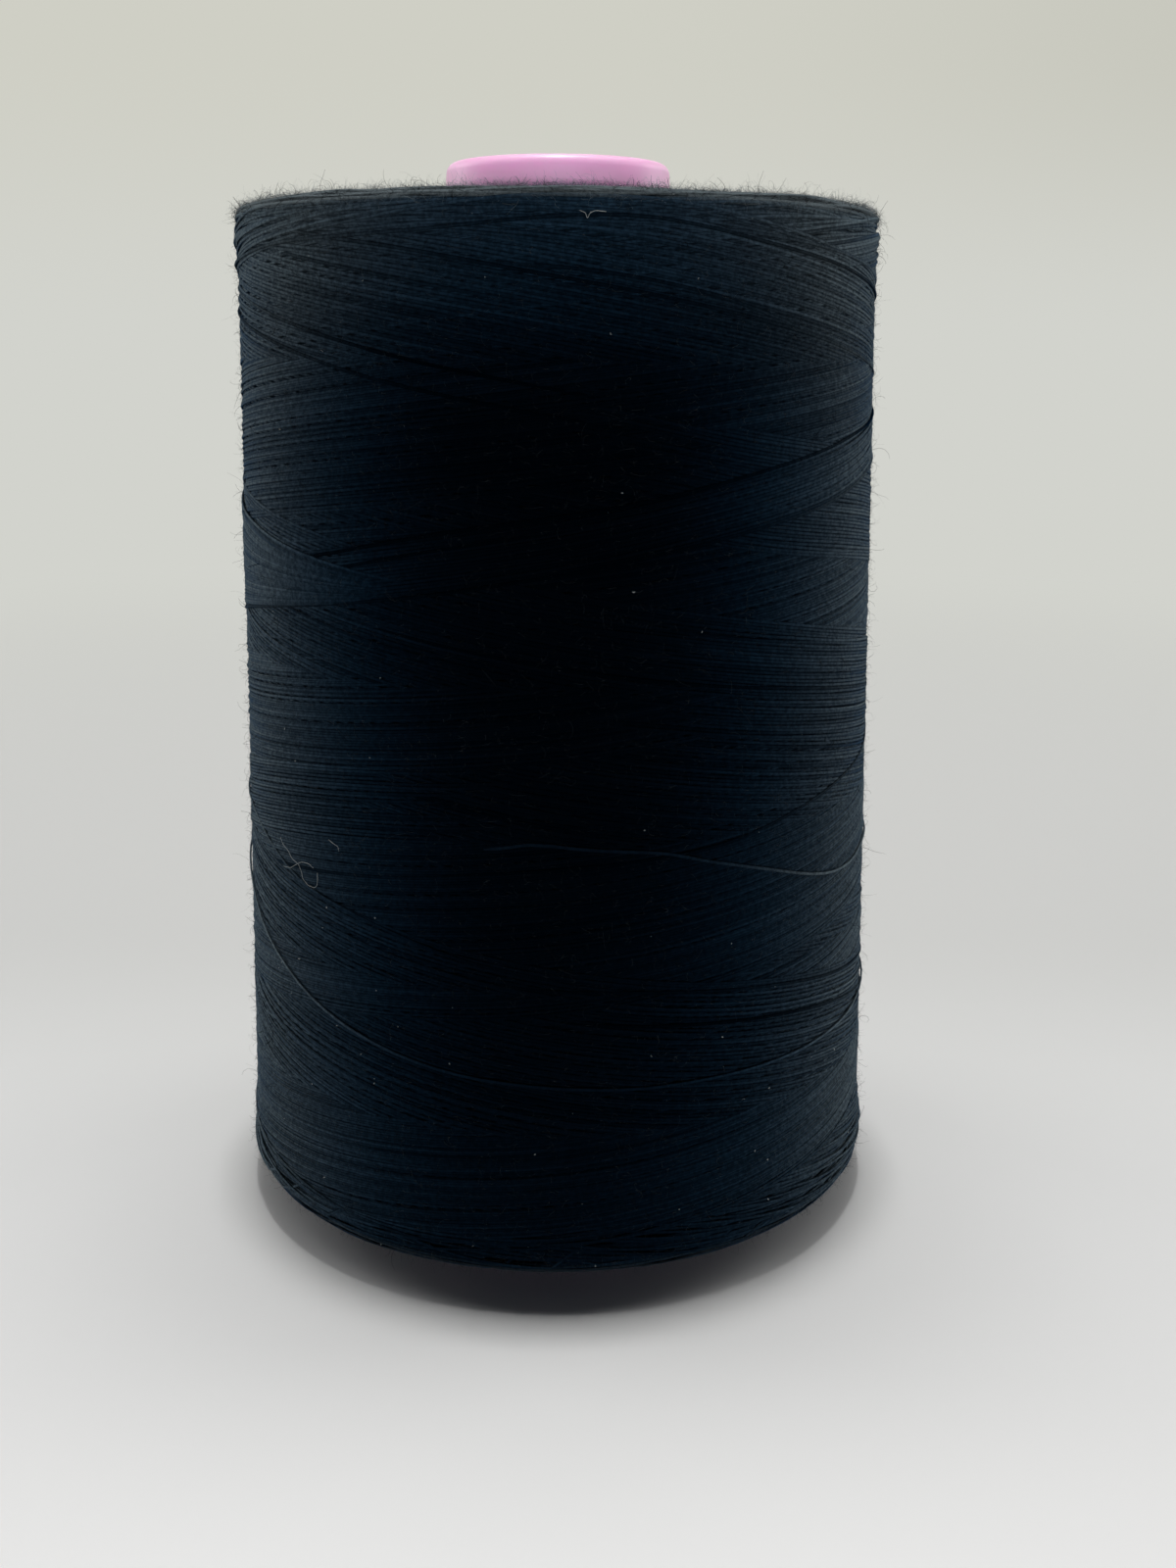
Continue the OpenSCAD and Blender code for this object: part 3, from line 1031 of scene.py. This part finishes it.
def fibres(name, along, turn, length, thickness, lift, curl, finish):
    """Short curled fibres that stand off the skin at these places."""
    count = len(along)
    root, out = on_winding(along, turn, -ROOT_DEEP)
    angle = 2 * math.pi * turn
    round_way = np.stack([-np.sin(angle), np.cos(angle), np.zeros(count)], axis=-1)
    up_way = np.cross(out, round_way)
    lean = chance.uniform(-math.pi, math.pi, count)[:, None]
    flat = round_way * np.cos(lean) * FIBRE_ROUND + up_way * np.sin(lean)
    heading = flat + out * lift[:, None]
    heading /= np.linalg.norm(heading, axis=-1, keepdims=True)
    bend = chance.normal(size=(count, 3))
    paths = np.empty((count, FIBRE_RINGS, 3))
    paths[:, 0] = root
    for ring in range(1, FIBRE_RINGS):
        stride = (length / (FIBRE_RINGS - 1))[:, None]
        paths[:, ring] = paths[:, ring - 1] + heading * stride * MM
        bend = bend + FIBRE_UNSTEADY * chance.normal(size=(count, 3))
        heading = heading + np.cross(bend, heading) * curl
        heading /= np.linalg.norm(heading, axis=-1, keepdims=True)
    sideways = chance.normal(size=(count, 1, 3)) + np.zeros((1, FIBRE_RINGS, 1))
    taper = np.linspace(1, FIBRE_TIP, FIBRE_RINGS) * thickness[:, None]
    mesh = tube_mesh(name, paths, sideways, taper, taper, 3, np.zeros((count, FIBRE_RINGS)))
    piece(name, mesh, finish)


# Fuzz: how uneven its lengths are, its least and most length and thickness, how far it stands
# up, as a middle, a spread and a least, and how curled it is
FUZZ_UNEVEN = 0.45
FUZZ_LENGTHS = (0.3, 3.0)
FUZZ_THICK = (0.006, 0.011)
FUZZ_LIFT = (0.7, 0.8)
FUZZ_LEAST_LIFT = 0.05
FUZZ_CURL = 0.3


def fuzz(name, along, finish, long, stout=1.0):
    """Fine fibres of the thread that stand off it, of about this length in mm."""
    count = len(along)
    turn = chance.uniform(0, 1, count)
    length = np.clip(chance.lognormal(math.log(long), FUZZ_UNEVEN, count), *FUZZ_LENGTHS)
    thickness = chance.uniform(*FUZZ_THICK, count) * stout
    lift = np.abs(chance.normal(*FUZZ_LIFT, count)) + FUZZ_LEAST_LIFT
    fibres(name, along, turn, length, thickness, lift, FUZZ_CURL, finish)


FUZZ_LONG = 0.85
FUZZ_IN_A_PIECE = 6000
for number in range(4):
    along = chance.uniform(2, section_length - 2, FUZZ_IN_A_PIECE)
    fuzz(f"fuzz_{number + 1}", along, dark_fuzz, FUZZ_LONG)
# The shoulder's fuzz is pale, as painted light from above
for number in range(3):
    along = chance.normal(shoulder_high + 0.5, 0.8, FUZZ_IN_A_PIECE)
    fuzz(f"shoulder_fuzz_{number + 1}", along, painted_light_fuzz, 0.7)
fuzz("foot_fuzz", chance.normal(shoulder_low, 1.5, 2000), dark_fuzz, FUZZ_LONG)

# Pale specks and curled pale fibres caught in the fuzz: degrees round from the front, height
CAUGHT = [
    (-21, 11.5), (29, 28.6), (-49, 33.8), (36, 14.8), (24, 50.7), (21, 10.6), (7, 4.6),
    (6, 107.8), (-41, 40.8), (40, 32.5), (-49, 55.3), (9, 97.6), (31, 8.2), (-42, 104.4),
    (39, 21.3), (-39, 28.1), (-10, 102.3), (39, 13.2), (59, 21.6), (-56, 70.1), (11, 83.5),
    (13, 74.4), (32, 107.7), (-30, 33.3),
]
CURLS = [
    [
        (-54.2, 46.4), (-53.3, 45.8), (-51.2, 45.3), (-50.3, 44.7), (-48.1, 44.4), (-47.2, 43.7),
        (-46.9, 43.0), (-45.3, 42.5), (-43.6, 42.5), (-42.8, 42.9), (-42.7, 44.3),
    ],
    [(-53.1, 43.4), (-50.7, 43.6), (-49.0, 44.2), (-47.1, 44.8), (-45.1, 44.9), (-43.8, 44.6)],
    [(-39.8, 48.2), (-38.7, 47.9), (-37.5, 47.7), (-37.3, 47.2)],
    [(4.2, 107.9), (5.1, 107.7), (5.4, 107.2), (5.8, 107.7), (6.6, 107.9), (8.3, 107.8)],
]


# Specks: the least and most length and thickness of the scattered ones, the thickness of the
# first and the last known one, how far they stand up and how curled they are
SPECK_LENGTHS = (0.12, 0.4)
SPECK_THICK = (0.025, 0.065)
KNOWN_THICK = (0.09, 0.05)
SPECK_LIFT = 0.25
SPECK_CURL = 0.6


def lint(count):
    """Specks in known places, and others scattered all round."""
    degrees, heights = np.array(CAUGHT).T
    # More of the scattered ones are low down
    scattered = 4 + (section_length - 10) * chance.beta(1, 1.9, count)
    along = np.concatenate([column_at(heights), scattered])
    turn = np.concatenate([degrees / 360 + FRONT, chance.uniform(0, 1, count)])
    length = chance.uniform(*SPECK_LENGTHS, len(along))
    thickness = chance.uniform(*SPECK_THICK, len(along))
    thickness[:len(CAUGHT)] = np.linspace(*KNOWN_THICK, len(CAUGHT))
    lift = np.full(len(along), SPECK_LIFT)
    fibres("lint", along, turn, length, thickness, lift, SPECK_CURL, pale_lint)


CURL_HIGH = 0.16
CURL_R = 0.022


def curls():
    """Longer fibres that lie in loops on the skin."""
    for number, corners in enumerate(CURLS):
        degrees, heights = np.array(corners).T
        corner = np.arange(len(corners))
        place = np.linspace(0, corner[-1], 6 * len(corners))
        around = smoothed(np.interp(place, corner, degrees), 5) / 360 + FRONT
        along = smoothed(np.interp(place, corner, column_at(heights)), 5)
        path, outward = on_winding(along, around, np.full(len(place), CURL_HIGH))
        tone = np.zeros(len(place))
        name = f"curl_{number + 1}"
        mesh = tube_mesh(name, path[None], outward[None], CURL_R, CURL_R, THREAD_SIDES, tone)
        piece(name, mesh, pale_lint)


lint(230)
curls()
HAIR_STOUT = 2.1
along = chance.uniform(shoulder_low, shoulder_high, 5000)
fuzz("side_hairs", along, black_hair, 1.2, HAIR_STOUT)
along = chance.normal(shoulder_high + 0.3, 0.9, 2000)
fuzz("shoulder_hairs", along, black_hair, 0.95, HAIR_STOUT)

# ---- Floor, light and camera ----

# The floor in front of the spool, under it and behind it, paler in front and darker behind as
# painted light, the floor as light meets it, and the colour into which it fades
FRONT_FLOOR = (0.78, 0.775, 0.765, 1)
MIDDLE_FLOOR = (0.655, 0.655, 0.645, 1)
BACK_FLOOR = (0.53, 0.53, 0.515, 1)
SHADED_FLOOR = (0.15, 0.15, 0.15, 1)
HORIZON = rgb(210, 211, 205)
FLOOR_REACH = 4.0


def floor():
    """A pale floor that runs out of sight. It throws less light on the spool than the eye sees."""
    mesh = bpy.data.meshes.new("floor")
    corners = [(-1, -1), (1, -1), (1, 1), (-1, 1)]
    points = [(x * FLOOR_REACH, y * FLOOR_REACH, 0) for x, y in corners]
    mesh.from_pydata(points, [], [(0, 1, 2, 3)])
    made = placed("floor", mesh)
    finish, f = material("pale_floor")
    place = f.place()
    away = f.node("ShaderNodeVectorMath", {"operation": "LENGTH"}, {0: place}, output="Value")
    behind = f.part(place, 1)
    # Painted light: the floor is paler in front of the spool and darker under and behind it
    pale = f.mix(f.step(behind, -0.13, 0.06), FRONT_FLOOR, MIDDLE_FLOOR)
    pale = f.mix(f.step(behind, -0.03, 0.08), pale, BACK_FLOOR)
    color = f.mix(f.ray("Camera"), SHADED_FLOOR, pale)
    matt = f.node("ShaderNodeBsdfDiffuse", None, {"Color": color})
    glow = f.node("ShaderNodeEmission", None, {"Color": HORIZON, "Strength": 1.0})
    # Further off the floor fades into the room
    share = f.step(away, 0.12, 0.55) * f.seen()
    mixed = f.node("ShaderNodeMixShader", None, {0: share, 1: matt, 2: glow})
    f.node("ShaderNodeOutputMaterial", None, {"Surface": mixed})
    mesh.materials.append(finish)


BAND_LIGHT = (2.55, 2.55, 2.55, 1)
NO_LIGHT = (0.006, 0.006, 0.006, 1)
LEFT_WALL = rgb(207, 207, 197)
RIGHT_WALL = rgb(198, 198, 188)


def surroundings():
    """A pale room for the eye. Its light is a low band, mostly behind: the front is in shade."""
    world = bpy.data.worlds.new("studio")
    world.use_nodes = True
    f = Finish(world.node_tree)
    way = f.node("ShaderNodeTexCoord", output="Generated")
    height = f.part(way, 2)
    behind = f.step(f.part(way, 1), -0.15, 0.4)
    low = f.step(height, 0.02, 0.14) * (1 - f.step(height, 0.16, 0.44))
    light = f.mix(behind * low, NO_LIGHT, BAND_LIGHT)
    wall = f.mix(f.step(f.part(way, 0), 0.0, 0.45), LEFT_WALL, RIGHT_WALL)
    wall = f.mix(f.step(height, 0.0, 0.16), HORIZON, wall)
    color = f.mix(f.seen(), light, wall)
    room = f.node("ShaderNodeBackground", None, {"Color": color, "Strength": 1.0})
    f.node("ShaderNodeOutputWorld", None, {"Surface": room})
    bpy.context.scene.world = world


# The middle of the spool, at which every light looks
AIM = Vector((0, 0, 0.055))


def softbox(name, place, size, watts, color=(1, 1, 1)):
    """A rectangle of soft light that the eye doesn't see."""
    light = bpy.data.lights.new(name, "AREA")
    light.shape = "RECTANGLE"
    light.size, light.size_y = size
    light.energy = watts
    light.color = color
    made = placed(name, light)
    made.location = place
    made.visible_camera = False
    made.rotation_euler = (AIM - Vector(place)).to_track_quat("-Z", "Y").to_euler()


floor()
surroundings()
# Each light's place and size in metres, and its watts
softbox("overhead", (0.0, 0.02, 1.2), (0.09, 0.08), 6.8)
softbox("ceiling", (0.0, 0.17, 1.25), (2.0, 0.55), 6.0)
softbox("left_side", (-0.85, 0.42, 0.48), (0.5, 0.35), 1.75)
softbox("right_side", (0.85, 0.42, 0.48), (0.5, 0.35), 1.75)
softbox("back_ceiling", (0.0, 0.25, 1.25), (0.5, 0.4), 2.6)
softbox("front_fill", (0.0, -1.0, 0.009), (0.8, 0.015), 5.2)
softbox("front_glow", (0.0, -1.0, 0.15), (0.8, 0.1), 0.4, color=(0.1, 0.45, 1.0))

# The camera's place in metres, and how far it looks down and leans, in degrees
CAMERA_PLACE = (0.0035, -0.1845, 0.09665)
CAMERA_DOWN = 15.14
CAMERA_ROLL = 0.27
CAMERA_LENS = 37.37
CAMERA_NEAREST = 0.005
eye = bpy.data.cameras.new("camera")
eye.lens = CAMERA_LENS
eye.clip_start = CAMERA_NEAREST
camera = placed("camera", eye)
pitch = Matrix.Rotation(math.radians(90 - CAMERA_DOWN), 4, "X")
roll = Matrix.Rotation(math.radians(CAMERA_ROLL), 4, "Z")
camera.matrix_world = Matrix.Translation(CAMERA_PLACE) @ pitch @ roll
bpy.context.scene.camera = camera
bpy.context.scene.view_settings.view_transform = "Standard"

bpy.context.view_layer.update()
